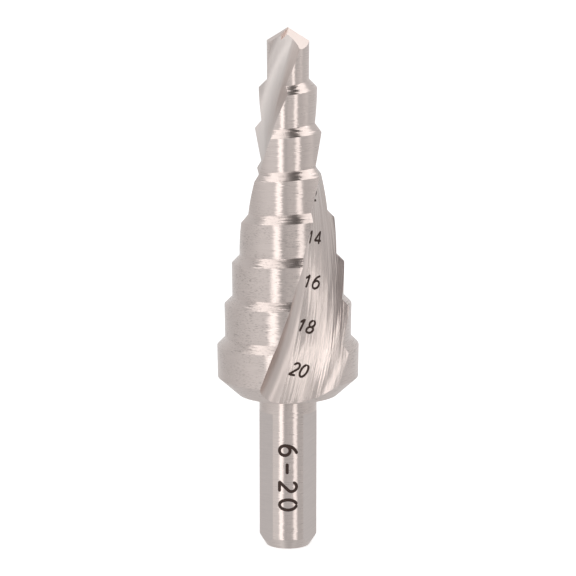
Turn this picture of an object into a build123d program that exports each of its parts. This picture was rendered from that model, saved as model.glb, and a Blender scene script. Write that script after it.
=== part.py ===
from build123d import *
import os
from math import cos, radians, sin, sqrt, tan

# Step drill, 6 to 20 mm: one piece of high-speed steel standing on its shank,
# point up, +Z along the axis, millimetres throughout.

# ---- sizes that drive everything else ----
pilot_diameter = 6.0        # the drill below the first step
step_gain = 2.0             # diameter added by each step
step_count = 7              # steps above the pilot: 8, 10, ... 20 mm
step_pitch = 5.9            # axial distance between two step corners
pilot_length = 5.46         # pilot land, from the first chamfer to the lip corner
point_angle = 120.0         # included angle of the drill point
lip_relief = 16.7           # relief of the facet behind each lip, degrees
heel_relief = 46.0          # relief of the steeper facet towards the heel
heel_rise = 8.0             # how much that facet climbs outwards along the lip
heel_start = 0.12           # height at which it would pass over the point

shank_diameter = 8.0
shank_length = 21.8         # flat underside of the head to the shank end
shank_neck = 2.4            # round length left between the head and the flats
flat_distance = 3.53        # axis to each of the three driving flats
end_chamfer_radius = 3.05   # radius left on the end face
end_chamfer_height = 1.5
back_cone_height = 2.5      # cone under the largest step
back_cone_radius = 7.0      # where that cone meets the flat underside

twist_back = 2.23           # degrees of twist per millimetre at the largest step
twist_gain = 48.4           # extra degrees of twist gathered on the way to the point
twist_power = 4             # how late that extra twist comes in
edge_start = -11.7          # cutting edge at the largest step corner, from the front

web_back = 6.76             # half thickness of the web at the back of the last land
web_tip = 1.2               # half thickness of the web at the lip corner
web_power = 1.07            # above 1 the web thins a little faster at first
back_lean_back = 27.3       # lean of the broad flute face at the back, degrees
back_lean_tip = 32.0        # and at the point
gullet_back = 3.0           # radius in the bottom of the flute at the back
gullet_tip = 1.0            # and at the point
crease = 10.0               # bend where the gullet meets the broad face, degrees
hook_start = 7.2            # distance from the gullet to where the face curls up
hook_radius = 5.7           # radius of that curl towards the heel

land_relief = 0.13          # eccentric throw of the land behind the cutting edge
rim_relief = 0.59           # eccentric throw of the 45 degree step faces
relief_lean = 30.0          # direction of both throws, ahead of the cutting edge
back_taper = 0.07           # radius lost over one land

gash_reach = 0.35           # how far each point gash crosses the axis
gash_side = 0.06            # half of the chisel left between the two gashes
gash_slope = 35.0           # valley of the gash from the axis, degrees
gash_opening = 105.0        # included angle of the gash

# ---- derived positions along the axis ----
chamfer = step_gain / 2
head_base = shank_length
land_base = head_base + back_cone_height
radii = [pilot_diameter / 2 + chamfer * i for i in range(step_count + 1)]
head_radius = radii[-1]
last_corner = land_base + step_pitch - chamfer
corners = {i: last_corner + step_pitch * (step_count - i) for i in range(1, step_count + 1)}
lip_corner = corners[1] + chamfer + pilot_length
point_height = radii[0] / tan(radians(point_angle / 2))
apex = lip_corner + point_height
edge_span = lip_corner - last_corner


def edge_angle(z):
    """Cutting edge one at height z, degrees from +X: twist that quickens to the point."""
    h = z - last_corner
    late = twist_gain * max(h / edge_span, 0.0) ** twist_power
    return edge_start - 90 + twist_back * h + late


def blend(z, back, tip, power=1.0):
    """Change of a flute size from the back of the last land to the lip."""
    left = (lip_corner - z) / (lip_corner - land_base)
    return tip + (back - tip) * (left ** power if left > 0 else left)


def flute_section(z):
    """Outline of what the flute removes at height z: rake face, gullet, broad back
    face and the curl at the heel, closed well outside the drill."""
    web = max(blend(z, web_back, web_tip, web_power), 0.4)
    lean = radians(blend(z, back_lean_back, back_lean_tip))
    gullet = max(blend(z, gullet_back, gullet_tip), 0.2)
    out = head_radius * 1.3
    root = web / cos(lean)
    along = Vector(-sin(lean), cos(lean))
    turned = lean - radians(crease)
    foot = root - gullet * (1 - sin(turned)) * tan(lean) + gullet * cos(turned)
    rake_end = Vector(foot, 0)
    centre = Vector(foot, gullet)
    back_end = centre - Vector(cos(turned), sin(turned)) * gullet
    mid_turn = (turned + radians(90)) / 2
    middle = centre - Vector(cos(mid_turn), sin(mid_turn)) * gullet
    curl = Vector(root, 0) + along * hook_start
    hub = curl + Vector(cos(lean), sin(lean)) * hook_radius
    half = hub + Vector(-cos(lean / 2), -sin(lean / 2)) * hook_radius
    heel = hub + Vector(-hook_radius, 0)
    top = max(out, heel.Y + 1)
    with BuildLine(Plane((0, 0, z), x_dir=(cos(radians(edge_angle(z))),
                                           sin(radians(edge_angle(z))), 0))) as line:
        Line((out, 0), (rake_end.X, rake_end.Y))
        ThreePointArc((rake_end.X, rake_end.Y), (middle.X, middle.Y), (back_end.X, back_end.Y))
        Line((back_end.X, back_end.Y), (curl.X, curl.Y))
        ThreePointArc((curl.X, curl.Y), (half.X, half.Y), (heel.X, heel.Y))
        Line((heel.X, heel.Y), (heel.X, top))
        Line((heel.X, top), (out, top))
        Line((out, top), (out, 0))
    return make_face(line.line)


def flute():
    """One flute, lofted through its sections from under the head to above the point."""
    start, stop = head_base - 1.5, apex + 1.0
    count = 25
    levels = [start + (stop - start) * (1 - (1 - i / (count - 1)) ** 1.25) for i in range(count)]
    return loft([flute_section(z) for z in levels])


def thrown(radius, throw, angle):
    """Radius and centre of a circle thrown off the axis that still passes through
    the cutting edge at the given radius."""
    lean = radians(relief_lean)
    true = sqrt(radius ** 2 - 2 * radius * throw * cos(lean) + throw ** 2)
    aim = radians(angle + relief_lean)
    return true, throw * cos(aim), throw * sin(aim)


def behind(angle, low, high):
    """The half of space behind the cutting edge, cut through the flutes."""
    size = head_radius * 3
    box = Box(size * 2, size, high - low, align=(Align.CENTER, Align.MAX, Align.MIN))
    return Pos(0, 0, low) * Rot(0, 0, angle) * box


def cone_at(bottom_radius, top_radius, low, high, x, y):
    return Pos(x, y, low) * Cone(bottom_radius, top_radius, high - low,
                                 align=(Align.CENTER, Align.CENTER, Align.MIN))


def half_step(index, turn):
    """One half of a step: relieved land under a relieved 45 degree face."""
    corner = corners[index]
    radius = radii[index]
    angle = edge_angle(corner) + turn
    low = corner - step_pitch - 0.4 if index < step_count else land_base
    high = corner + chamfer + 0.3
    grow = back_taper / (step_pitch - chamfer)
    land, x, y = thrown(radius, land_relief, angle)
    body = cone_at(land - grow * (corner - low), land + grow * (high - corner), low, high, x, y)
    rim, x, y = thrown(radius, rim_relief, angle)
    face = cone_at(rim + corner - low, rim - (high - corner), low, high, x, y)
    half = behind(angle + 25, low, high)
    return (body & half) & (face & half)


def facet(angle, lift, along, across):
    """Everything above a flat point facet: it climbs along the lip and ahead of it
    by the given slopes, and stands lift above the point at the axis."""
    size = head_radius * 2
    plane = Plane((0, 0, apex + lift), z_dir=(-along, -across, 1))
    return Rot(0, 0, angle) * (plane * Box(size, size, size,
                                           align=(Align.CENTER, Align.CENTER, Align.MIN)))


def half_pilot(turn):
    """One half of the pilot: relieved land under the four facets of the point."""
    angle = edge_angle(lip_corner) + turn
    low, high = corners[1] - 0.4, apex + 1.0
    land, x, y = thrown(radii[0], land_relief, angle)
    body = cone_at(land - back_taper, land, low, high, x, y) & behind(angle + 12, low, high)
    for flip in (0, 180):
        lip = angle + flip
        body -= facet(lip, 0, -1 / tan(radians(point_angle / 2)), tan(radians(lip_relief)))
        body -= facet(lip, heel_start, tan(radians(heel_rise)), tan(radians(heel_relief)))
    return body


def gash(turn):
    """Notch beside the chisel edge that thins the web at the point."""
    angle = edge_angle(apex) + turn
    slope = radians(gash_slope)
    run = Vector(sin(slope), 0, -cos(slope))
    up = Vector(cos(slope), 0, sin(slope))
    wide = up * cos(radians(gash_opening)) + Vector(0, 1, 0) * sin(radians(gash_opening))
    base = Vector(-gash_reach, gash_side, apex) - run * 2.0
    size = 4.0
    outline = Polyline(tuple(base), tuple(base + up * size), tuple(base + wide * size), close=True)
    wedge = extrude(make_face(outline), amount=6.0, dir=run)
    return Rot(0, 0, angle) * wedge


def back_body():
    """Shank with its end chamfer, flat underside and the cone under the last land."""
    r = shank_diameter / 2
    outline = Polyline(
        (0, 0), (end_chamfer_radius, 0), (r, end_chamfer_height), (r, head_base),
        (back_cone_radius, head_base), (head_radius - back_taper, land_base),
        (0, land_base), close=True)
    return revolve(make_face(Plane.XZ * outline), axis=Axis.Z)


def driving_flats():
    """Three flats for the chuck jaws, open at the shank end, with square shoulders."""
    length = shank_length - shank_neck
    cuts = []
    for turn in (-30, 90, 210):
        block = Box(shank_diameter, shank_diameter * 2, length + 1,
                    align=(Align.MIN, Align.CENTER, Align.MIN))
        cuts.append(Rot(0, 0, turn) * Pos(flat_distance, 0, -1) * block)
    return cuts


halves = [half_pilot(turn) for turn in (0, 180)]
for index in range(1, step_count + 1):
    halves += [half_step(index, turn) for turn in (0, 180)]
blank = back_body().fuse(*halves)
cutter = flute()
drill = blank - [cutter, Rot(0, 0, 180) * cutter]
drill = drill - [gash(0), gash(180)]
drill = drill - driving_flats()
solids = drill.solids()
body = max(solids, key=lambda s: s.volume)
body.label = "step_drill"

os.makedirs("parts", exist_ok=True)
export_step(body, "parts/step_drill.step")
box = body.bounding_box()
print("solids", len(solids), "volume", round(body.volume, 1), "valid", body.is_valid,
      "size", [round(v, 2) for v in (box.size.X, box.size.Y, box.size.Z)], "faces", len(body.faces()))
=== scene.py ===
# %% [markdown]
# # A step drill, 6 to 20 mm
#
# One bar of high-speed steel carries eight drills of growing size, one behind the
# other. Two spiral flutes run through all of them and make the cutting edges.
# The CAD model gives the true form, but its mesh is made of flat triangles, and
# polished steel shows every one of them. So the drill is worked out again here as
# fine surfaces, in the same frame and from the same sizes. Only the hollow of the
# flute near the pilot is easier, the notches at the point are smaller, and the cone
# under the head meets the relieved land. Every ground face then gets the finish
# that its grinding wheel left.

import bpy
import numpy as np
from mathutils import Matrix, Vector


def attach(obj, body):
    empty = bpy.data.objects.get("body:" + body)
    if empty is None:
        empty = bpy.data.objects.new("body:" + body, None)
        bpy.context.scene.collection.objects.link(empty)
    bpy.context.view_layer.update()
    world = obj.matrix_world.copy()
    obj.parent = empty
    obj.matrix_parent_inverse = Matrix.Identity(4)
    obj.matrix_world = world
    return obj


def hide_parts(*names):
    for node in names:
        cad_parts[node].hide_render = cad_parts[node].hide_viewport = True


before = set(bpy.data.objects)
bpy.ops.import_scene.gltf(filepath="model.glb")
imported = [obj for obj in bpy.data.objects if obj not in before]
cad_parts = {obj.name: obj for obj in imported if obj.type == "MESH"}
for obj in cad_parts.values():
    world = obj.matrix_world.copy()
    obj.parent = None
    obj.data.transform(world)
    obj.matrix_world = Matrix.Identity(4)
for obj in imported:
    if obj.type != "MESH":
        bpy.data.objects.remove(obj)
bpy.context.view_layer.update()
MM = 0.001

# %% [markdown]
# ## The sizes of the drill
#
# A maker draws such a drill from a few numbers: the diameters, the pitch of the
# steps, the twist of the flutes and the grinding angles. All lengths here are in
# millimetres, because drills are. They become metres only when a mesh is written.

# %% Driving sizes, in millimetres and degrees
# steps and point
PILOT_DIAMETER = 6.0
STEP_GAIN = 2.0
STEP_COUNT = 7
STEP_PITCH = 5.9
PILOT_LENGTH = 5.46
POINT_ANGLE = 120.0
LIP_RELIEF = 16.7
HEEL_RELIEF = 46.0
HEEL_RISE = 8.0
HEEL_START = 0.12

# shank and head
SHANK_RADIUS = 4.0
SHANK_LENGTH = 21.8
SHANK_NECK = 2.4
FLAT_DISTANCE = 3.53
END_RADIUS = 3.05
END_HEIGHT = 1.5
BACK_CONE_HEIGHT = 2.5
BACK_CONE_RADIUS = 7.0

# twist of the cutting edge
TWIST_BACK = 2.23
TWIST_GAIN = 48.4
TWIST_POWER = 4
EDGE_START = -11.7

# section of the flute, at the back of the head and at the tip
WEB_BACK, WEB_TIP, WEB_POWER = 6.76, 1.2, 1.07
LEAN_BACK, LEAN_TIP = 27.3, 32.0
GULLET_BACK, GULLET_TIP = 3.0, 1.0
GULLET_SWELL = 2.0
CREASE = 10.0
HOOK_START, HOOK_START_TIP = 7.2, 2.2
HOOK_RADIUS, HOOK_RADIUS_TIP = 5.7, 3.0

# relief behind the cutting edges
LAND_RELIEF = 0.13
RIM_RELIEF = 0.59
RELIEF_LEAN = 30.0
BACK_TAPER = 0.07

# notches that thin the web at the point
GASH_REACH, GASH_SIDE = 0.0, 0.06
GASH_SLOPE, GASH_OPENING = 45.0, 80.0
print("holes, mm:", [PILOT_DIAMETER + STEP_GAIN * step for step in range(STEP_COUNT + 1)])

# %% Heights and radii that follow from them
CHAMFER = STEP_GAIN / 2
LAND_BASE = SHANK_LENGTH + BACK_CONE_HEIGHT
RADII = PILOT_DIAMETER / 2 + CHAMFER * np.arange(STEP_COUNT + 1)
HEAD_RADIUS = RADII[-1]
LAST_CORNER = LAND_BASE + STEP_PITCH - CHAMFER
CORNERS = LAST_CORNER + STEP_PITCH * (STEP_COUNT - np.arange(STEP_COUNT + 1))
LIP_CORNER = CORNERS[1] + CHAMFER + PILOT_LENGTH
APEX = LIP_CORNER + RADII[0] / np.tan(np.radians(POINT_ANGLE / 2))
print("step corners, mm:", np.round(CORNERS[1:], 1), "lip corner", round(LIP_CORNER, 2),
      "point", round(APEX, 2))

# %% [markdown]
# ## How the flutes turn
#
# Everything on the drill is measured from its cutting edge, and the edge winds
# round the axis: slowly at the wide end, faster and faster towards the point.
# One small function says where the edge is at any height.


# %% The twist
def late(z):
    """0 up to the largest step and 1 at the lip, climbing with the fourth power of
    the height, so that nearly all of it comes near the point."""
    climb = np.asarray(z, float) - LAST_CORNER
    return np.maximum(climb / (LIP_CORNER - LAST_CORNER), 0.0) ** TWIST_POWER


def edge_angle(z):
    """Angle of cutting edge one from +X, in degrees: a straight line in z plus the
    late term."""
    climb = np.asarray(z, float) - LAST_CORNER
    return EDGE_START - 90 + TWIST_BACK * climb + TWIST_GAIN * late(z)


def blend(z, back, tip, power=1.0):
    """A flute size at height z, going from its value at the back to that at the lip."""
    left = (LIP_CORNER - np.asarray(z, float)) / (LIP_CORNER - LAND_BASE)
    bent = np.sign(left) * np.abs(left) ** np.where(left > 0, power, 1.0)
    return tip + (back - tip) * bent


print("edge one, degrees from the front:", np.round(edge_angle(CORNERS[1:]) + 90, 1))

# %% [markdown]
# ## Grids, meshes and cuts
#
# Each surface is a grid of points: rows up the drill, columns round it. A helper
# joins the grid into faces, closes its two ends and remembers which finish each
# face is to get. The drill itself is then made the way the real one is: a turned
# and relieved blank, from which cutters take the flutes, the point and the flats.

# %% Finishes by name
FINISHES = ["land", "step_face", "turned_back", "shank", "shank_end", "rake",
            "flute_back", "point", "gash", "flat", "burnt"]
materials = {name: bpy.data.materials.new("steel_" + name) for name in FINISHES}
print("finishes:", ", ".join(FINISHES))


# %% Mesh helpers
def make_object(name, points, faces, finishes):
    """A mesh object from points in millimetres. Its finish names, one for each
    face, become material slots."""
    mesh = bpy.data.meshes.new(name)
    mesh.from_pydata((np.asarray(points) * MM).tolist(), [], faces)
    used = sorted(set(finishes), key=FINISHES.index)
    for finish in used:
        mesh.materials.append(materials[finish])
    mesh.polygons.foreach_set("material_index", [used.index(f) for f in finishes])
    mesh.update()
    piece = bpy.data.objects.new(name, mesh)
    bpy.context.scene.collection.objects.link(piece)
    return piece


def tube(name, grid, finishes, row_finish=None, bottom=None, top=None):
    """A closed solid from a grid of rows by columns: every row is a ring, and the
    two ends are closed. Finishes name each column's finish, or each row's."""
    rows, columns = grid.shape[:2]
    row, column = np.meshgrid(np.arange(rows - 1), np.arange(columns), indexing="ij")
    following = (column + 1) % columns
    quads = np.stack([row * columns + column, row * columns + following,
                      (row + 1) * columns + following, (row + 1) * columns + column], -1)
    faces = quads.reshape(-1, 4).tolist()
    names = [row_finish[r] if row_finish else finishes[c]
             for r in range(rows - 1) for c in range(columns)]
    faces.append(list(range(columns))[::-1])
    faces.append(list(range((rows - 1) * columns, rows * columns)))
    names += [bottom or names[0], top or names[-1]]
    x, y = grid[0, :, 0], grid[0, :, 1]
    clockwise = np.sum(x * np.roll(y, -1) - y * np.roll(x, -1)) < 0
    if clockwise:
        faces = [face[::-1] for face in faces]
    return make_object(name, grid.reshape(-1, 3), faces, names)


def cut(target, tool):
    """Takes the tool away from the target and deletes the tool. The new faces keep
    the tool's finish."""
    change = target.modifiers.new("cut", "BOOLEAN")
    change.operation = "DIFFERENCE"
    change.solver = "EXACT"
    change.material_mode = "TRANSFER"
    change.object = tool
    bpy.context.view_layer.objects.active = target
    bpy.ops.object.modifier_apply(modifier=change.name)
    bpy.data.objects.remove(tool)


def turned(points, degrees):
    """Points turned about the drill's axis."""
    angle = np.radians(degrees)
    x, y, z = np.moveaxis(np.asarray(points, float), -1, 0)
    return np.stack([x * np.cos(angle) - y * np.sin(angle),
                     x * np.sin(angle) + y * np.cos(angle), z + 0 * angle], -1)


# %% [markdown]
# ## The blank
#
# A land that stayed full round behind its edge would rub and burn. So each land
# and each 45 degree face is ground on a circle whose centre is thrown a little
# off the axis, towards the cutting edge: it still passes through the edge and
# drops away behind it. Seen from the axis, such a circle has the radius
# c cos(a) + sqrt(R^2 - c^2 sin^2(a)), with throw c, true radius R and angle a from
# the throw. The two halves of the drill have the same shape, half a turn apart.
# A turned outline could be spun round the axis, but it would be round everywhere,
# so the radius is worked out for every angle instead.

# %% Radius of a relieved surface
HALF_START = 25.0     # each half of a step ends this far ahead of its edge, inside the flute
PILOT_START = 12.0    # and each half of the pilot
PILOT_OVER = 1.0      # the pilot's taper is measured from this far above the point
PILOT_SPARE = 1.4     # and runs over the pilot and this much more


def ahead_of_edge(theta, edge, start):
    """Angle from the nearest cutting edge, from start - 180 up to start."""
    return start - (edge + start - theta) % 180


def relieved(theta, edge, start, radius, throw, growth):
    """Distance from the axis of a circle thrown off the axis, whose radius at the
    cutting edge is given and whose true radius has grown by growth."""
    lean = np.radians(RELIEF_LEAN)
    true = np.sqrt(radius ** 2 - 2 * radius * throw * np.cos(lean) + throw ** 2) + growth
    away = np.radians(ahead_of_edge(theta, edge, start) - RELIEF_LEAN)
    return throw * np.cos(away) + np.sqrt(true ** 2 - (throw * np.sin(away)) ** 2)


def land_radius(index, theta, z):
    """Radius of land number index, which thins a little towards the shank."""
    grow = BACK_TAPER / (STEP_PITCH - CHAMFER)
    if index == 0:
        edge, start = edge_angle(LIP_CORNER), PILOT_START
        growth = BACK_TAPER * (z - APEX - PILOT_OVER) / (APEX + PILOT_SPARE - CORNERS[1])
    else:
        edge, start = edge_angle(CORNERS[index]), HALF_START
        growth = grow * (z - CORNERS[index])
    return relieved(theta, edge, start, RADII[index], LAND_RELIEF, growth)


def face_radius(index, theta, z):
    """Radius of the 45 degree face that leads step number index."""
    edge = edge_angle(CORNERS[index])
    return relieved(theta, edge, HALF_START, RADII[index], RIM_RELIEF, CORNERS[index] - z)


def meeting(inner, outer, low, high):
    """Heights at which two radius functions are equal, found by halving the range."""
    low, high = np.broadcast_arrays(low, high)
    for _ in range(40):
        middle = (low + high) / 2
        above = inner(middle) > outer(middle)
        low, high = np.where(above, middle, low), np.where(above, high, middle)
    return (low + high) / 2


around_head = np.arange(0, 360, 5)
lowest_land = land_radius(STEP_COUNT, around_head, LAST_CORNER).min()
print("largest land falls behind its edge by", round(HEAD_RADIUS - lowest_land, 2), "mm")

# %% [markdown]
# ## Rows of the blank
#
# The blank is built as a stack of rings, from the shank end to above the point.
# Where two surfaces meet, such as a land and the 45 degree face above it, the ring
# lies on their meeting line, which rises and falls a little round the drill. The
# cone under the head ends on the relieved land, so no ring stands proud of it.

# %% Rings of the blank
COLUMNS = 720
SHANK_ROWS = 22
LAND_ROWS = 8
FACE_ROWS = 4
TOP_SPARE = 0.8       # steel left above the point for its facets to take off
theta = np.linspace(0, 360, COLUMNS, endpoint=False)
whole = np.ones(COLUMNS)
levels = []      # one (height, radius) pair of arrays for each row
row_finish = []  # the finish of the band of faces above each row


def add_row(z, radius, finish):
    """One more ring of the blank, and the finish of the faces above it."""
    levels.append((z * whole, radius * whole))
    row_finish.append(finish)


# %% Shank and underside of the head
add_row(0.0, END_RADIUS, "shank_end")
for z in np.linspace(END_HEIGHT, SHANK_LENGTH, SHANK_ROWS):
    add_row(z, SHANK_RADIUS, "shank")
row_finish[-1] = "turned_back"
add_row(SHANK_LENGTH, BACK_CONE_RADIUS, "turned_back")
print("shank:", len(levels), "rows")

# %% Steps, from the largest to the pilot
floor_z = LAND_BASE * whole
for index in range(STEP_COUNT, 0, -1):
    near = CORNERS[index]  # both meeting lines lie within a few millimetres of this height
    corner_z = meeting(lambda z: face_radius(index, theta, z),
                       lambda z: land_radius(index, theta, z), near - 3 * whole, near + 1)
    root_z = meeting(lambda z: face_radius(index, theta, z),
                     lambda z: land_radius(index - 1, theta, z), near - 2 * whole, near + 2)
    for share in np.linspace(0, 1, LAND_ROWS, endpoint=False):
        z = floor_z + (corner_z - floor_z) * share
        add_row(z, land_radius(index, theta, z), "land")
    for share in np.linspace(0, 1, FACE_ROWS, endpoint=False):
        z = corner_z + (root_z - corner_z) * share
        add_row(z, face_radius(index, theta, z), "step_face")
    floor_z = root_z
for share in np.linspace(0, 1, 3 * LAND_ROWS):
    z = floor_z + (APEX + TOP_SPARE - floor_z) * share
    add_row(z, land_radius(0, theta, z), "land")
print("shank and steps:", len(levels), "rows")

# %% Join the rings
heights = np.array([z for z, _ in levels])
reach = np.array([r for _, r in levels])
angle = np.radians(theta)
rings = np.stack([reach * np.cos(angle), reach * np.sin(angle), heights], -1)
blank = tube("drill", rings, None, row_finish, bottom="shank_end", top="land")
print("blank:", len(blank.data.vertices), "points,", len(blank.data.polygons), "faces")

# %% [markdown]
# ## The flutes
#
# The grinding wheel that made the flute left a section with four parts: the
# straight rake face that ends in the cutting edge, a round gullet, the broad back
# face, and a curl that runs out at the heel of the next land. The section shrinks
# and turns as it climbs. Near the pilot it also eases into one round hollow: the
# gullet swells, the crease between gullet and back face goes, and the curl comes
# closer. That change follows the late term of the twist. A grid of sections is a
# closed solid, the cutter, and the same cutter turned by half a turn makes the
# second flute.

# %% Points on each part of the section
RAKE_POINTS, GULLET_POINTS, BACK_POINTS, CURL_POINTS, HEEL_POINTS = 14, 22, 20, 16, 8
KINK = RAKE_POINTS + GULLET_POINTS - 1  # the point where the gullet meets the back face
CUTTER_REACH = 1.3                      # the cutter ends this many head radii out
print("the broad back face starts at point", KINK, "of the section")


# %% The flute's section
def arc_points(centre_x, centre_y, radius, start, stop, count):
    """Points on an arc. Radius, centre and angles may differ from level to level."""
    share = np.linspace(0, 1, count)
    turn = start[:, None] + (stop - start)[:, None] * share
    return np.stack([centre_x[:, None] + radius[:, None] * np.cos(turn),
                     centre_y[:, None] + radius[:, None] * np.sin(turn)], -1)


def straight(start, stop, count):
    """Points on a straight line for each level, without its last point."""
    share = np.linspace(0, 1, count, endpoint=False)[None, :, None]
    return start[:, None, :] * (1 - share) + stop[:, None, :] * share


def flute_section(z):
    """Outline of the flute at each height in z, in the plane whose x axis runs
    through the cutting edge. Returns the points and the finish of each stretch."""
    web = np.maximum(blend(z, WEB_BACK, WEB_TIP, WEB_POWER), 0.4)
    lean = np.radians(blend(z, LEAN_BACK, LEAN_TIP))
    tip = np.minimum(late(z), 1)
    gullet = np.maximum(blend(z, GULLET_BACK, GULLET_TIP) + GULLET_SWELL * tip, 0.2)
    slack = lean - np.radians(CREASE) * (1 - tip)
    root = web / np.cos(lean)
    foot = root - gullet * (1 - np.sin(slack)) * np.tan(lean) + gullet * np.cos(slack)
    out = np.full_like(z, HEAD_RADIUS * CUTTER_REACH)
    nil = 0 * z
    kink = np.stack([foot - gullet * np.cos(slack), gullet - gullet * np.sin(slack)], -1)
    start = HOOK_START + (HOOK_START_TIP - HOOK_START) * np.sqrt(tip)
    hook = HOOK_RADIUS + (HOOK_RADIUS_TIP - HOOK_RADIUS) * np.sqrt(tip)
    curl = np.stack([root - np.sin(lean) * start, np.cos(lean) * start], -1)
    hub = curl + hook[:, None] * np.stack([np.cos(lean), np.sin(lean)], -1)
    top = np.maximum(out, hub[:, 1] + 1)
    half_turn = np.pi + nil
    parts = [
        ("rake", straight(np.stack([out, nil], -1), np.stack([foot, nil], -1), RAKE_POINTS)),
        ("rake", arc_points(foot, gullet, gullet, nil - np.pi / 2, -np.pi + slack,
                            GULLET_POINTS)[:, :-1]),
        ("flute_back", straight(kink, curl, BACK_POINTS)),
        ("flute_back", arc_points(hub[:, 0], hub[:, 1], hook, half_turn + lean,
                                  half_turn, CURL_POINTS)[:, :-1]),
        ("flute_back", straight(hub - np.stack([hook, nil], -1),
                                np.stack([hub[:, 0] - hook, top], -1), HEEL_POINTS)),
        ("flute_back", straight(np.stack([hub[:, 0] - hook, top], -1),
                                np.stack([out, top], -1), 1)),
        ("flute_back", straight(np.stack([out, top], -1), np.stack([out, nil], -1), 1)),
    ]
    finish = [name for name, points in parts for _ in range(points.shape[1])]
    return np.concatenate([points for _, points in parts], 1), finish


# %% Cut both flutes
FLUTE_LEVELS = 220
climb = np.linspace(0, 1, FLUTE_LEVELS)
# from 1.5 mm under the head to 1 mm above the point, closer together at the top
flute_z = SHANK_LENGTH - 1.5 + (APEX + 2.5 - SHANK_LENGTH) * (1 - (1 - climb) ** 1.25)
section, section_finish = flute_section(flute_z)
flute_grid = np.concatenate([section, np.repeat(flute_z[:, None, None], section.shape[1], 1)], -1)
flute_grid = turned(flute_grid, edge_angle(flute_z)[:, None])
for half in (0, 180):
    cut(blank, tube("flute_cutter", turned(flute_grid, half), section_finish))
print("fluted:", len(blank.data.polygons), "faces")

# %% [markdown]
# ## The point
#
# The point is a four-facet point: behind each lip a narrow facet with little
# relief, then a steeper one that falls away to the heel. Every facet is a plane,
# so each is cut with a block that lies on it. A small gash on each side thins the
# web, which lets the point start without wandering. It is cut with a long wedge.

# %% Size of the wedge that cuts a gash
WEDGE_START, WEDGE_SIDE, WEDGE_LENGTH = 2, 4, 6  # start beyond the point, sides, length
print("gash:", GASH_OPENING, "degrees wide,", GASH_SLOPE, "degrees from the axis")


# %% Blocks and wedges
def block(name, corner, edges, finish):
    """A box from one corner and its three edge vectors, all in millimetres."""
    steps = np.array([[i, j, k] for i in (0, 1) for j in (0, 1) for k in (0, 1)], float)
    faces = [[0, 1, 3, 2], [4, 6, 7, 5], [0, 4, 5, 1], [2, 3, 7, 6], [0, 2, 6, 4], [1, 5, 7, 3]]
    points = np.asarray(corner) + steps @ np.asarray(edges)
    return make_object(name, points, faces, [finish] * len(faces))


def facet_cutter(lip, lift, along, across):
    """Everything above a plane that climbs along the lip and ahead of it by the
    given slopes, and stands lift above the point at the axis."""
    size = 2 * HEAD_RADIUS
    right, ahead = np.array([1, 0, along]), np.array([0, 1, across])
    edges = turned(np.array([right * size, ahead * size, [0, 0, size]]), lip)
    corner = turned(-(right + ahead) * size / 2, lip) + [0, 0, APEX + lift]
    return block("facet_cutter", corner, edges, "point")


def gash_cutter(turn):
    """A long wedge that slopes down and outwards beside the chisel edge."""
    slope, opening = np.radians(GASH_SLOPE), np.radians(GASH_OPENING)
    run = np.array([np.sin(slope), 0, -np.cos(slope)])
    up = np.array([np.cos(slope), 0, np.sin(slope)])
    wide = up * np.cos(opening) + np.array([0, 1, 0]) * np.sin(opening)
    base = np.array([-GASH_REACH, GASH_SIDE, APEX]) - WEDGE_START * run
    near = np.array([base, base + WEDGE_SIDE * up, base + WEDGE_SIDE * wide])
    far = near + WEDGE_LENGTH * run
    points = turned(np.concatenate([near, far]), edge_angle(APEX) + turn)
    faces = [[0, 1, 2], [3, 5, 4], [0, 3, 4, 1], [1, 4, 5, 2], [2, 5, 3, 0]]
    return make_object("gash_cutter", points, faces, ["gash"] * len(faces))


# %% Grind the point
lip_slope = -1 / np.tan(np.radians(POINT_ANGLE / 2))
for half in (0, 180):
    lip = edge_angle(LIP_CORNER) + half
    cut(blank, facet_cutter(lip, 0, lip_slope, np.tan(np.radians(LIP_RELIEF))))
    cut(blank, facet_cutter(lip, HEEL_START, np.tan(np.radians(HEEL_RISE)),
                            np.tan(np.radians(HEEL_RELIEF))))
for half in (0, 180):
    cut(blank, gash_cutter(half))
print("pointed:", len(blank.data.polygons), "faces, height",
      round(max(blank.dimensions) / MM, 2), "mm")

# %% [markdown]
# ## The driving flats
#
# Three flats stop the shank from slipping in the chuck. They are milled from the
# end up to a square shoulder, one at the back and two at the front corners. Each
# is cut with a box whose inner face is the flat and whose top is the shoulder.

# %% Mill the flats
FLAT_DIRECTIONS = (-30, 90, 210)
length = SHANK_LENGTH - SHANK_NECK
for turn in FLAT_DIRECTIONS:
    corner = turned([FLAT_DISTANCE, -SHANK_RADIUS * 2, -1], turn)
    edges = turned(np.diag([2 * SHANK_RADIUS, 4 * SHANK_RADIUS, length + 1]), turn)
    cut(blank, block("flat_cutter", corner, edges, "flat"))
print("flats:", len(FLAT_DIRECTIONS), "of", round(length, 1), "mm,", len(blank.data.polygons), "faces")

# %% [markdown]
# ## Crisp edges and smooth faces
#
# Shading is smooth inside each ground face and breaks where one face ends and the
# next begins. An edge is sharp where its two faces have different finishes or
# meet at more than a small angle. A bevel would round these edges, and a ground
# cutting edge isn't round.


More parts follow.
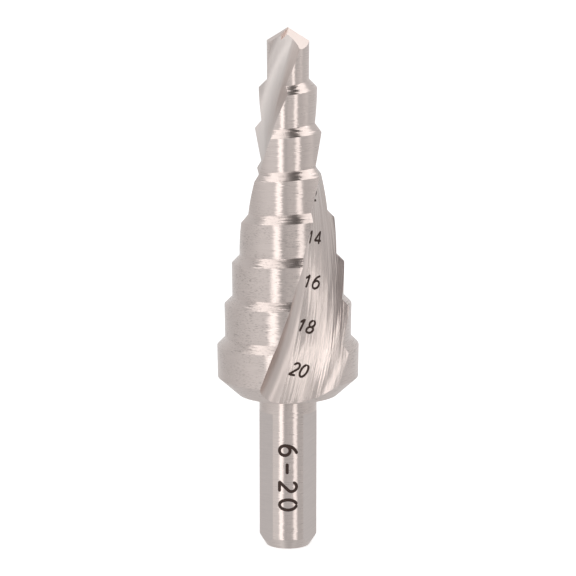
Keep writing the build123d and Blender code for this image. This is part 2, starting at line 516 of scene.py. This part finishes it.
# %% Mark the sharp edges
def crisp(piece, degrees):
    """Smooth shading, broken at edges between two finishes or steeper than degrees."""
    mesh = piece.data
    mesh.shade_smooth()
    mesh.set_sharp_from_angle(angle=np.radians(degrees))
    loops = len(mesh.loops)
    edge = np.zeros(loops, np.int32)
    mesh.loops.foreach_get("edge_index", edge)
    sides = np.zeros(len(mesh.polygons), np.int32)
    mesh.polygons.foreach_get("loop_total", sides)
    finish = np.zeros(len(mesh.polygons), np.int32)
    mesh.polygons.foreach_get("material_index", finish)
    of_loop = np.repeat(finish, sides)
    lowest = np.full(len(mesh.edges), 99)
    highest = np.full(len(mesh.edges), -1)
    np.minimum.at(lowest, edge, of_loop)
    np.maximum.at(highest, edge, of_loop)
    sharp = np.zeros(len(mesh.edges), bool)
    mesh.edges.foreach_get("use_edge_sharp", sharp)
    mesh.edges.foreach_set("use_edge_sharp", sharp | (lowest != highest))
    mesh.update()


SMOOTH_BELOW = 18     # degrees between two faces that still shade as one
drill = blank
crisp(drill, SMOOTH_BELOW)
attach(drill, "root")
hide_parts("step_drill")
print("drill:", len(drill.data.polygons), "faces in", len(drill.data.materials), "finishes")

# %% [markdown]
# ## The numbers
#
# A laser burns the hole size beside every step, on the broad face of one flute,
# and the range on the shank. The figures are single strokes. Each is drawn here
# as a few lines and arcs, laid on the steel, and given a flat rounded section,
# like a fine bead. The figures stand upright along the flute, so they lean with it.
# A ready typeface would give outlines of letters, not the single stroke of a laser.

# %% Strokes of the figures, in a box one wide and one high
TURN = 2 * np.pi


def bow(x, y, wide, high, start, stop):
    """Points on part of an ellipse, from one share of a turn to another."""
    angle = np.linspace(start * TURN, stop * TURN, 25)
    return np.stack([x + wide * np.cos(angle), y + high * np.sin(angle)], -1)


STROKES = {
    "0": [bow(0.5, 0.5, 0.36, 0.5, 0.25, 1.25)],
    "1": [np.array([(0.22, 0.74), (0.56, 1.0), (0.56, 0.0)])],
    "2": [np.concatenate([bow(0.5, 0.70, 0.33, 0.30, 0.45, -0.07), [(0.16, 0.0), (0.86, 0.0)]])],
    "4": [np.array([(0.66, 0.0), (0.66, 1.0), (0.10, 0.28), (0.90, 0.28)])],
    "6": [np.concatenate([bow(0.84, 0.36, 0.68, 0.66, 0.27, 0.5),
                          bow(0.5, 0.31, 0.34, 0.31, 0.5, 1.5)])],
    "8": [bow(0.5, 0.74, 0.28, 0.26, 0.25, 1.25), bow(0.5, 0.25, 0.34, 0.25, 0.25, 1.25)],
    "-": [np.array([(0.12, 0.45), (0.88, 0.45)])],
}
print("figures:", " ".join(STROKES))

# %% [markdown]
# ## A bead along a stroke
#
# A laser leaves a thin layer of oxide. It is made here as a real closed shape, a
# fiftieth of a millimetre high, so that the mesh shows the figures without any
# colour too. Each stroke is cut into even short steps, laid on the steel, and a
# small flat ellipse is carried along it.

# %% A bead along a path on the steel
BEAD_STEP = 0.06      # millimetres between two points of a stroke
BEAD_RISE = 0.02      # and the bead's height above the steel
BEAD_SIDES = 8
BEAD_END = 0.08       # the smallest share of its width, at the very end


def evenly(points, spacing):
    """Points at equal distances along a broken line."""
    gone = np.concatenate([[0], np.cumsum(np.linalg.norm(np.diff(points, axis=0), axis=1))])
    where = np.linspace(0, gone[-1], max(int(gone[-1] / spacing), 2) + 1)
    return np.stack([np.interp(where, gone, points[:, k]) for k in range(2)], -1)


def bead(path, outward, width, rise):
    """A closed tube along the path, an ellipse of the given half width and half
    height. Its ends are rounded: the width follows a half circle there."""
    count = len(path)
    forward = np.gradient(path, axis=0)
    forward /= np.linalg.norm(forward, axis=1)[:, None]
    side = np.cross(forward, outward)
    gone = np.concatenate([[0], np.cumsum(np.linalg.norm(np.diff(path, axis=0), axis=1))])
    edge = np.clip(np.minimum(gone, gone[-1] - gone) / width, BEAD_END, 1)
    full = np.sqrt(1 - (1 - edge) ** 2)[:, None, None]
    turn = np.linspace(0, TURN, BEAD_SIDES, endpoint=False)[None, :, None]
    grid = path[:, None] + full * (side[:, None] * width * np.cos(turn)
                                   + outward[:, None] * rise * np.sin(turn))
    around, along = np.meshgrid(np.arange(BEAD_SIDES), np.arange(count - 1))
    after = (around + 1) % BEAD_SIDES
    near, far = along * BEAD_SIDES, (along + 1) * BEAD_SIDES
    quads = np.stack([near + around, near + after, far + after, far + around], -1)
    first = list(range(BEAD_SIDES))[::-1]
    last = list(range((count - 1) * BEAD_SIDES, count * BEAD_SIDES))
    return grid.reshape(-1, 3), quads.reshape(-1, 4).tolist() + [first, last]


def burn(name, text, height, width, pitch, thickness, slant, lay):
    """Writes text with beads. Lay takes flat places in millimetres, across and up
    from the middle of the text, to points on the steel and directions out of it."""
    points, faces = [], []
    for place, figure in enumerate(text):
        middle = (place - (len(text) - 1) / 2) * pitch
        for stroke in STROKES[figure]:
            flat = evenly((stroke - 0.5) * [width, height], BEAD_STEP)
            path, outward = lay(middle + flat[:, 0] + slant * flat[:, 1], flat[:, 1])
            grid, quads = bead(path, outward, thickness / 2, BEAD_RISE)
            base = sum(len(p) for p in points)
            points.append(grid)
            faces += [[base + corner for corner in quad] for quad in quads]
    piece = make_object(name, np.concatenate(points), faces, ["burnt"] * len(faces))
    piece.data.shade_smooth()
    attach(piece, "root")
    return piece


# %% [markdown]
# ## Where the figures lie
#
# A figure has to follow the twisted face under it. So a flat place in the text is
# taken to a height and a distance from the crease, and the flute's own section
# gives the point on the steel. The way out of the steel comes from two tiny steps
# beside that point.

# %% Where a figure lies on the flute and on the shank
SHANK_MARK = 10.5     # height of the middle of the range on the shank


def on_flute(z_middle, across_middle):
    """Lays text on the broad face of flute one. A step up follows the flute, and a
    step across is square to it, from the crease towards the heel."""
    web = blend(z_middle, WEB_BACK, WEB_TIP, WEB_POWER)
    lead = np.arctan(np.radians(edge_angle(z_middle + 0.5) - edge_angle(z_middle - 0.5)) * web)

    def place(across, z):
        lean = np.radians(blend(z, LEAN_BACK, LEAN_TIP))
        kink = flute_section(z)[0][:, KINK]
        flat = kink + across[:, None] * np.stack([-np.sin(lean), np.cos(lean)], -1)
        return turned(np.concatenate([flat, z[:, None]], 1), edge_angle(z))

    def lay(right, up):
        across = across_middle + right / np.cos(lead)
        z = z_middle + up * np.cos(lead) - right * np.sin(lead)
        here = place(across, z)
        sideways = place(across + 0.01, z) - here
        upward = place(across, z + 0.01) - here
        outward = np.cross(sideways, upward)
        return here, outward / np.linalg.norm(outward, axis=1)[:, None]

    return lay


def on_shank(right, up):
    """Lays text down the front of the shank, with the tops of the figures to the right."""
    angle = up / SHANK_RADIUS
    outward = np.stack([np.sin(angle), -np.cos(angle), 0 * angle], -1)
    return outward * SHANK_RADIUS + [0, 0, 1] * (SHANK_MARK - right)[:, None], outward


# %% [markdown]
# ## Burn the numbers
#
# The face under the small numbers is turned away from the front, so they are drawn
# wider than the large ones and look alike. They also stand closer to the crease,
# because the face itself is narrower there.

# %% Burn the numbers
NUMBER_DROP = 2.78    # from the corner of a step down to the middle of its number
NUMBER_HEIGHT, NUMBER_WIDTH, NUMBER_PITCH = 1.7, 1.36, 1.38
NUMBER_STROKE, NUMBER_SLANT = 0.32, 0.28
RANGE_HEIGHT, RANGE_WIDTH, RANGE_PITCH, RANGE_STROKE = 2.4, 2.04, 2.6, 0.45
for index in range(1, STEP_COUNT + 1):
    size = str(int(2 * RADII[index]))
    # distance of the middle from the crease, then how much wider than the plain figure
    across_face = np.interp(index, [3, 4, 6, 7], [0.6, 1.15, 1.25, 1.6])
    stretch = np.interp(index, [4, 7], [1.24, 0.92])
    burn("number_" + size, size, NUMBER_HEIGHT, NUMBER_WIDTH * stretch, NUMBER_PITCH * stretch,
         NUMBER_STROKE, NUMBER_SLANT, on_flute(CORNERS[index] - NUMBER_DROP, across_face))
    print("number", size, "at height", round(CORNERS[index] - NUMBER_DROP, 1), "mm")
burn("range_on_shank", "6-20", RANGE_HEIGHT, RANGE_WIDTH, RANGE_PITCH, RANGE_STROKE, 0.0, on_shank)

# %% [markdown]
# ## Finishes
#
# Bare steel has no colour of its own to paint: it shows its surroundings, and the
# marks of each grinding wheel decide how. Lines round a land spread a reflection
# up and down but leave it narrow sideways. Lines along a flute do the opposite.
# So every finish here is the same warm grey steel with its own lines: a noise
# pattern stretched along the direction in which that wheel ran. The lines change
# the brightness and the roughness a little. They also turn the surface a few
# degrees to the side, which is what breaks a reflection into bright and dark lines.
# A bump map could do that too, but lines finer than a pixel would only blur it.
# Some light and shade is painted into the colour as well: the streaks and the darker
# heel strip of the flute's broad face, the brighter notches and the cooler flats.

# %% Small helpers for building a finish
STEEL = (0.74, 0.655, 0.62, 1)
PALE_STEEL = (0.77, 0.715, 0.69, 1)
PER_MM = 1 / MM
SPECK_DEPTH = 0.3     # share of the brightness that a full speck takes away


def add(tree, kind, inputs=None, **settings):
    """A node with its settings, and its inputs set to values or joined to outputs."""
    node = tree.nodes.new("ShaderNode" + kind)
    for key, value in settings.items():
        setattr(node, key, value)
    for key, value in (inputs or {}).items():
        if isinstance(value, bpy.types.NodeSocket):
            tree.links.new(value, node.inputs[key])
        else:
            node.inputs[key].default_value = value
    return node


def maths(tree, operation, first, second=0.0, third=0.0):
    """One sum on one to three numbers or outputs."""
    return add(tree, "Math", {0: first, 1: second, 2: third}, operation=operation).outputs[0]


def spread(tree, value, low, high):
    """Takes a value between 0 and 1 to one between low and high."""
    return maths(tree, "MULTIPLY_ADD", value, high - low, low)


def between(tree, value, low, high):
    """0 below low, 1 above high and a smooth climb in between."""
    node = add(tree, "MapRange", {"Value": value, "From Min": low, "From Max": high},
               interpolation_type="SMOOTHSTEP")
    return node.outputs["Result"]


def noise(tree, place, detail=2.0, roughness=0.5, seed=0.0):
    """Smooth random values round 0.5 at a place whose unit is one grain."""
    return add(tree, "TexNoise", {"Vector": place, "W": seed, "Scale": 1.0, "Detail": detail,
                                  "Roughness": roughness}, noise_dimensions="4D").outputs[0]


def stretched(tree, place, grain):
    """A place measured in grains, whose three sizes are in millimetres."""
    scale = [PER_MM / size for size in grain]
    return add(tree, "Mapping", {"Vector": place, "Scale": scale}).outputs[0]


def here(tree):
    """The place on the drill."""
    return add(tree, "TexCoord").outputs["Object"]


def along_flute(tree):
    """The place on the drill with the twist and the growth of the web taken out, and
    flute two laid over flute one. A line along either flute is then a line straight
    up. The first number runs across the flute and the second goes into the steel."""
    place = here(tree)
    z = add(tree, "SeparateXYZ", {0: place}).outputs["Z"]
    climb = maths(tree, "MULTIPLY_ADD", z, PER_MM, -LAST_CORNER)
    share = maths(tree, "MAXIMUM", maths(tree, "DIVIDE", climb, LIP_CORNER - LAST_CORNER), 0.0)
    late_turn = maths(tree, "POWER", share, TWIST_POWER)
    turn = maths(tree, "MULTIPLY_ADD", climb, np.radians(TWIST_BACK),
                 maths(tree, "MULTIPLY", late_turn, np.radians(TWIST_GAIN)))
    back = maths(tree, "MULTIPLY_ADD", turn, -1.0, -np.radians(EDGE_START - 90))
    flat = add(tree, "VectorRotate", {"Vector": place, "Angle": back}, rotation_type="Z_AXIS")
    split = add(tree, "SeparateXYZ", {0: flat.outputs[0]})
    which = maths(tree, "SIGN", maths(tree, "ADD", split.outputs["X"], split.outputs["Y"]))
    lean = np.radians((LEAN_BACK + LEAN_TIP) / 2)
    x = maths(tree, "MULTIPLY", split.outputs["X"], which)
    y = maths(tree, "MULTIPLY", split.outputs["Y"], which)
    across = maths(tree, "MULTIPLY_ADD", x, -np.sin(lean), maths(tree, "MULTIPLY", y, np.cos(lean)))
    inward = maths(tree, "MULTIPLY_ADD", x, np.cos(lean), maths(tree, "MULTIPLY", y, np.sin(lean)))
    growth = (WEB_BACK - WEB_TIP) / (LIP_CORNER - LAND_BASE)
    inward = maths(tree, "MULTIPLY_ADD", z, growth, inward)
    return add(tree, "CombineXYZ", {0: across, 1: inward, 2: z}).outputs[0]


def steel(name, lines, roughness, shade, sway, anisotropy, rotation, colour=STEEL, specks=0.0,
          dull=0.0, turn=0.0):
    """Finishes a steel surface. Lines is an output between 0 and 1. Roughness and
    shade are pairs that it moves between, and sway is how far it turns the surface
    sideways, in degrees. Anisotropy and rotation say how the lines stretch a
    reflection. Specks, between 0 and 1, darken it, dull adds to the roughness, and
    turn adds to the sideways turn. The last four may be outputs."""
    tree = materials[name].node_tree
    shader = tree.nodes["Principled BSDF"]
    shader.inputs["Metallic"].default_value = 1.0
    shader.inputs["Anisotropic"].default_value = anisotropy
    shader.inputs["Anisotropic Rotation"].default_value = rotation
    clean = maths(tree, "MULTIPLY_ADD", specks, -SPECK_DEPTH, 1.0)
    tone = maths(tree, "MULTIPLY", spread(tree, lines, *shade), clean)
    mix = add(tree, "Mix", {"Factor": tone, "A": (0, 0, 0, 1), "B": colour},
              data_type="RGBA", clamp_factor=False)
    tree.links.new(mix.outputs[2], shader.inputs["Base Color"])
    rough = maths(tree, "ADD", spread(tree, lines, *roughness), dull)
    tree.links.new(rough, shader.inputs["Roughness"])
    around = add(tree, "Tangent", direction_type="RADIAL", axis="Z").outputs[0]
    swing = maths(tree, "ADD", spread(tree, lines, -np.radians(sway), np.radians(sway)), turn)
    tilt = add(tree, "VectorMath", {0: around, "Scale": swing}, operation="SCALE").outputs[0]
    normal = add(tree, "NewGeometry").outputs["Normal"]
    swayed = add(tree, "VectorMath", {0: normal, 1: tilt}, operation="ADD").outputs[0]
    unit = add(tree, "VectorMath", {0: swayed}, operation="NORMALIZE").outputs[0]
    tree.links.new(unit, shader.inputs["Normal"])


def height(tree, low, high):
    """A climb from 0 to 1 between two heights in millimetres."""
    z = add(tree, "SeparateXYZ", {0: here(tree)}).outputs["Z"]
    return between(tree, maths(tree, "MULTIPLY", z, PER_MM), low, high)


def paler(tree, share):
    """The steel's colour, gone over to the paler one by some share."""
    return add(tree, "Mix", {"Factor": share, "A": STEEL, "B": PALE_STEEL},
               data_type="RGBA").outputs[2]


def faded(tree, lines, low, high, least):
    """Lines that weaken to a least share between two heights in millimetres."""
    kept = spread(tree, height(tree, low, high), 1.0, least)
    return maths(tree, "MULTIPLY_ADD", maths(tree, "SUBTRACT", lines, 0.5), kept, 0.5)


for material in materials.values():
    material.use_nodes = True
UP_AND_DOWN, SIDEWAYS = 0.25, 0.0
PALER, DULLER = (48, 56), (50, 62)  # heights between which the flute changes, in millimetres
print("finishes to make:", len(materials))

# %% [markdown]
# ## Faces that were ground while the drill turned
#
# Lands, step faces, the cone and the shank carry rings. The lines are long round
# the drill and under a tenth of a millimetre along it, and the strong anisotropy
# makes each lamp one upright stripe. The lower steps also show small dark specks,
# as bare steel does after handling. They come where two patterns meet: short
# dashes, and the patches in which dashes are allowed.

# %% Rings
DASH_GRAIN, PATCH_GRAIN = (0.45, 0.45, 0.12), (3.0, 3.0, 3.0)
SPECKS_END, SPECKS_BEGIN = (54, 44), (20, 24)  # heights where the specks fade out and in
for name, sway, fine in (("land", 6, 0.07), ("step_face", 14, 0.08), ("turned_back", 5, 0.09),
                         ("shank", 4, 0.09), ("shank_end", 5, 0.09)):
    tree = materials[name].node_tree
    lines = noise(tree, stretched(tree, here(tree), (2.5, 2.5, fine)), 1.0, 0.5)
    dashes = noise(tree, stretched(tree, here(tree), DASH_GRAIN), 2.0)
    dashes = between(tree, dashes, 0.5, 0.68)
    patches = noise(tree, stretched(tree, here(tree), PATCH_GRAIN), 2.0)
    patches = between(tree, patches, 0.35, 0.6)
    band = maths(tree, "MULTIPLY", height(tree, *SPECKS_END), height(tree, *SPECKS_BEGIN))
    specks = maths(tree, "MULTIPLY", maths(tree, "MULTIPLY", dashes, patches), band)
    steel(name, lines, (0.24, 0.34), (0.88, 1.12), sway, 0.95, UP_AND_DOWN, specks=specks)
    print("rings:", name, "every", fine, "mm")

# %% [markdown]
# ## The flute
#
# Both faces carry lines that run up the flute. On the broad back face they are fine
# and deep, so they sway the surface most, and nearly any lamp flashes somewhere in
# them. Their light and dark streaks are painted into the colour too, as painted
# reflection. Towards the pilot the face is narrow and the wheel cut less, so the
# steel is duller and calmer, and its colour goes over to a paler, cooler grey. A
# strip along the heel keeps the darker colour, which is painted shade, and is also
# turned a little towards a darker part of the room. Each of these changes is a
# smooth climb between two heights.

# %% Rake face
tree = materials["rake"].node_tree
lines = noise(tree, stretched(tree, along_flute(tree), (0.4, 0.4, 14.0)), 2.0, 0.6)
steel("rake", faded(tree, lines, *DULLER, 0.5), (0.30, 0.4), (0.9, 1.10), 9, 0.3, SIDEWAYS,
      paler(tree, height(tree, *PALER)), dull=spread(tree, height(tree, *DULLER), 0.0, 0.12))
print("rake: paler between", PALER, "mm up, duller between", DULLER)

# %% Broad back face
HEEL_ACROSS, HEEL_UP = (0.5, 1.6), (56, 64)  # where the darker strip along the heel comes in
HEEL_TURN = -0.28                            # and how far it turns the surface, in radians
tree = materials["flute_back"].node_tree
place = along_flute(tree)
lines = noise(tree, stretched(tree, place, (0.26, 50.0, 14.0)), 4.0, 0.75)
across = maths(tree, "MULTIPLY", add(tree, "SeparateXYZ", {0: place}).outputs[0], PER_MM)
heel = maths(tree, "MULTIPLY", between(tree, across, *HEEL_ACROSS), height(tree, *HEEL_UP))
# painted shade: in the strip along the heel the colour doesn't go paler, so it stays darker
body = maths(tree, "MULTIPLY", maths(tree, "SUBTRACT", 1.0, heel), height(tree, *PALER))
dullness = spread(tree, height(tree, *DULLER), 0.0, 0.2)
# painted reflection: the shade pair (0.68, 1.2) puts the flute's light and dark streaks into its
# colour, beside the sway that turns the surface
steel("flute_back", faded(tree, lines, 48, 66, 0.4), (0.18, 0.28), (0.68, 1.2), 36, 0.0, SIDEWAYS,
      paler(tree, body), dull=dullness, turn=spread(tree, heel, 0.0, HEEL_TURN))
print("back face: the strip along the heel comes in between", HEEL_UP, "mm up")

# %% [markdown]
# ## Point, notches, flats and figures
#
# The small faces need less. The point's facets are nearly even. The notches are
# rougher, and their colour is painted brighter, painted light against the dark that
# the notch reflects. The milled flats carry lines a little askew and a cooler grey,
# which is painted reflection of the cooler room at the sides, and the burnt figures
# are dark brown oxide, patchy like any burn.

# %% Small faces
# the flats' cooler grey is painted reflection of the cooler room at the sides
FLAT_STEEL_AND_COOL_REFLECTION = (0.73, 0.66, 0.635, 1)
OXIDE = (0.075, 0.052, 0.045, 1)
tree = materials["point"].node_tree
lines = noise(tree, stretched(tree, here(tree), (0.1, 1.0, 1.0)), 3.0, 0.6)
steel("point", lines, (0.35, 0.45), (0.95, 1.05), 1, 0.0, SIDEWAYS)
tree = materials["gash"].node_tree
lines = noise(tree, stretched(tree, here(tree), (0.3, 0.3, 3.0)), 2.0, 0.6)
# painted light: the notch's colour is lifted 15 to 35 percent above the steel's own, against the dark
# it reflects
steel("gash", lines, (0.45, 0.55), (1.15, 1.35), 4, 0.0, SIDEWAYS)
tree = materials["flat"].node_tree
askew = (0, np.radians(14), 0)
skew = add(tree, "Mapping", {"Vector": here(tree), "Rotation": askew}).outputs[0]
lines = noise(tree, stretched(tree, skew, (3.0, 3.0, 0.16)), 3.0, 0.6)
steel("flat", lines, (0.35, 0.45), (0.85, 1.08), 3, 0.3, UP_AND_DOWN, FLAT_STEEL_AND_COOL_REFLECTION)
tree = materials["burnt"].node_tree
patches = noise(tree, stretched(tree, here(tree), (0.5, 0.5, 0.5)), 3.0, 0.6)
steel("burnt", patches, (0.5, 0.7), (0.6, 1.5), 0.0, 0.0, SIDEWAYS, OXIDE)
print("nodes in the back face's finish:", len(materials["flute_back"].node_tree.nodes))

# %% [markdown]
# ## Lamps and cards
#
# Polished cylinders are lit with tall soft panels: each panel becomes one narrow
# bright stripe. Two panels stand either side of the camera for the lands and the
# shank. Two hang overhead for the 45 degree faces, with a dark card between them
# for the dark patch in the middle. Three long thin panels, set by direction, light
# the flute, and a grey card keeps a part of it calm. The camera sees none of them.

# %% Panels
scene = bpy.context.scene
AIM = Vector((0, 0, 0.0366))


def facing(piece, aim):
    """Turns a lamp, a card or the camera so that it looks at a point."""
    piece.rotation_euler = (aim - piece.location).to_track_quat("-Z", "Y").to_euler()


def towards(azimuth, rise, distance):
    """A place seen from the middle of the drill: azimuth in degrees from the front,
    to the right, and rise in degrees above level."""
    side, up = np.radians(azimuth), np.radians(rise)
    ray = Vector((np.cos(up) * np.sin(side), -np.cos(up) * np.cos(side), np.sin(up)))
    return AIM + ray * distance


def panel(name, place, width, height, radiance, tilt=0.0):
    """A soft rectangular lamp that looks at the drill, turned by tilt in its own
    plane. The camera doesn't see it."""
    lamp = bpy.data.lights.new(name, "AREA")
    lamp.shape = "RECTANGLE"
    lamp.size, lamp.size_y = width, height
    lamp.energy = radiance * np.pi * width * height
    lamp.color = WARM
    piece = bpy.data.objects.new(name, lamp)
    scene.collection.objects.link(piece)
    piece.location = place
    facing(piece, AIM)
    piece.rotation_euler.rotate_axis("Z", np.radians(tilt))
    piece.visible_camera = False
    return piece


def card(name, place, width, height, grey, tilt=0.0):
    """A cloth card of some grey, seen only in the steel."""
    bpy.ops.mesh.primitive_plane_add(size=1, location=place)
    piece = bpy.context.object
    piece.name = name
    facing(piece, AIM)
    piece.rotation_euler.rotate_axis("Z", np.radians(tilt))
    piece.scale = (width, height, 1)
    cloth = bpy.data.materials.new(name)
    cloth.use_nodes = True
    shader = cloth.node_tree.nodes["Principled BSDF"]
    shader.inputs["Base Color"].default_value = (grey, 0.9 * grey, 0.9 * grey, 1)
    shader.inputs["Roughness"].default_value = 1.0
    piece.data.materials.append(cloth)
    piece.visible_camera = False
    piece.visible_shadow = False
    return piece


WARM = (1.0, 0.97, 0.95)
panel("left_strip", AIM + Vector((-0.285, -0.546, -0.05)), 0.17, 0.9, 1.08)
panel("right_strip", AIM + Vector((0.300, -0.54, -0.05)), 0.16, 0.9, 1.0)
panel("left_top", AIM + Vector((-0.175, 0.03, 0.5)), 0.18, 0.40, 1.7)
panel("right_top", AIM + Vector((0.25, 0.0, 0.5)), 0.20, 0.5, 1.6)
panel("right_glow", towards(62, 7, 0.6), 0.55, 0.08, 1.0, -23)
panel("high_glow", towards(3, 30, 0.6), 0.74, 0.08, 1.0, -19)
panel("low_glow", towards(7, 4, 0.6), 0.25, 0.11, 0.95)

# %% Dark cards
card("top_card", AIM + Vector((0.02, -0.05, 0.5)), 0.20, 0.8, 0.01)
card("flute_card", towards(55, 29, 0.6), 0.70, 0.14, 0.25, -21)
print("cards: top_card, flute_card")

# %% [markdown]
# ## Floor and room
#
# The drill stands on white paper that keeps its shadow. To the camera the paper
# also glows a little, so that it goes over into the white background, and from
# below it is clear. The steel doesn't see the paper, only the room: grey curtains
# that change slowly from side to side. The camera sees the same room as plain white.

# %% Floor
bpy.ops.mesh.primitive_circle_add(vertices=96, radius=3.0, fill_type="NGON")
ground = bpy.context.object
ground.name = "floor"
paper = bpy.data.materials.new("floor_paper")
ground.data.materials.append(paper)
paper.use_nodes = True
tree = paper.node_tree
diffuse = add(tree, "BsdfDiffuse", {"Color": (0.85, 0.85, 0.85, 1)})
lift = add(tree, "Emission", {"Color": (1, 1, 1, 1), "Strength": 0.55})
eye = add(tree, "LightPath").outputs["Is Camera Ray"]
seen = add(tree, "AddShader", {0: diffuse.outputs[0], 1: lift.outputs[0]})
both = add(tree, "MixShader", {0: eye, 1: diffuse.outputs[0], 2: seen.outputs[0]})
below = add(tree, "NewGeometry").outputs["Backfacing"]
clear = add(tree, "BsdfTransparent")
paper_or_clear = add(tree, "MixShader", {0: below, 1: both.outputs[0], 2: clear.outputs[0]})
tree.links.new(paper_or_clear.outputs[0], tree.nodes["Material Output"].inputs["Surface"])
ground.visible_glossy = False
ground.visible_shadow = False
print("floor:", round(ground.dimensions.x, 1), "m across")

# %% Room
world = bpy.data.worlds.new("studio")
scene.world = world
world.use_nodes = True
tree = world.node_tree
surround = tree.nodes["Background"]
ROOM = [(-180, 0.75), (-120, 0.63), (-50, 0.80), (0, 0.48), (60, 0.52), (110, 0.66), (180, 0.75)]
direction = add(tree, "SeparateXYZ", {0: add(tree, "TexCoord").outputs["Generated"]})
front = maths(tree, "MULTIPLY", direction.outputs["Y"], -1.0)
azimuth = maths(tree, "ARCTAN2", direction.outputs["X"], front)
share = maths(tree, "MULTIPLY_ADD", azimuth, 0.5 / np.pi, 0.5)
curtain = add(tree, "ValToRGB", {0: share})
curtain.color_ramp.interpolation = "EASE"
while len(curtain.color_ramp.elements) < len(ROOM):
    curtain.color_ramp.elements.new(0.5)
for stop, (degrees, grey) in zip(curtain.color_ramp.elements, ROOM):
    stop.position = degrees / 360 + 0.5
    stop.color = (grey, grey, grey, 1)
tree.links.new(curtain.outputs[0], surround.inputs["Color"])
white = add(tree, "Background", {"Color": (1, 1, 1, 1), "Strength": 1.0})
eye = add(tree, "LightPath").outputs["Is Camera Ray"]
both = add(tree, "MixShader", {0: eye, 1: surround.outputs[0], 2: white.outputs[0]})
tree.links.new(both.outputs[0], tree.nodes["World Output"].inputs["Surface"])
print("room:", len(ROOM), "greys from", min(grey for _, grey in ROOM), "to",
      max(grey for _, grey in ROOM))

# %% [markdown]
# ## Camera
#
# The drill is seen from the front and a little above, through a long lens, so that
# its height is hardly foreshortened and its sides stay parallel.

# %% Camera
camera = bpy.data.objects.new("camera", bpy.data.cameras.new("camera"))
scene.collection.objects.link(camera)
CAMERA_DISTANCE = 0.3945
CAMERA_RISE = np.radians(11.44)
camera.location = AIM + CAMERA_DISTANCE * Vector((0, -np.cos(CAMERA_RISE), np.sin(CAMERA_RISE)))
camera.data.lens = 178.1
camera.data.sensor_width = 36.0
camera.data.clip_start = 0.01
facing(camera, AIM)
scene.camera = camera
scene.view_settings.view_transform = "Standard"
print("camera:", CAMERA_DISTANCE, "m away,", round(np.degrees(CAMERA_RISE), 1), "degrees above level")
